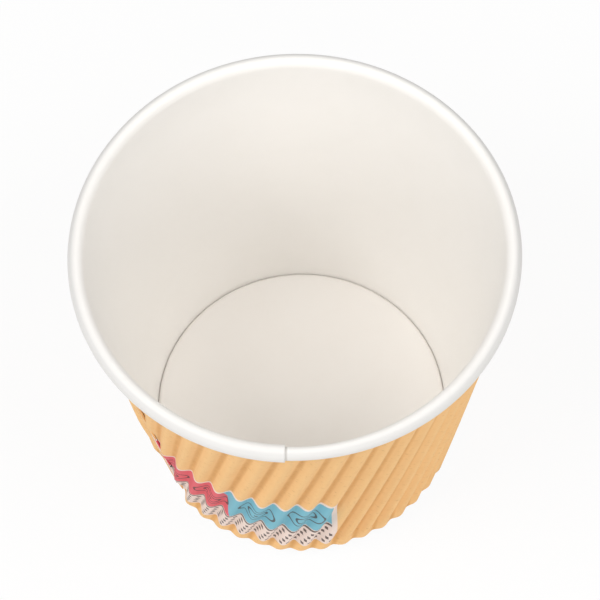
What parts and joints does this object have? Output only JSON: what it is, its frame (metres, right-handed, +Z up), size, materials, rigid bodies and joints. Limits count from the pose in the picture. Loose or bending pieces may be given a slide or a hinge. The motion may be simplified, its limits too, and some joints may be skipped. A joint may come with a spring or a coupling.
{
  "type": "double wall paper cup",
  "caption": "Squat double wall paper cup: white board cup with a rolled rim and pressed in base, inside an outer wall of kraft paper with slanting ripples.",
  "frame": {"origin": "middle of the circle on which the foot stands", "axes": "+Z up along the cup's axis, -Y towards the viewer of the picture, +X to the viewer's right"},
  "size_m": [0.09, 0.0898, 0.082],
  "materials": {
    "white_board": "coated paperboard, satin",
    "base_board": "coated paperboard, satin",
    "kraft": "rippled kraft paper, matt"
  },
  "bodies": {
    "root": {"sidewall": "white_board", "base_disc": "base_board", "ripple_sleeve": "kraft"}
  },
  "joints": []
}
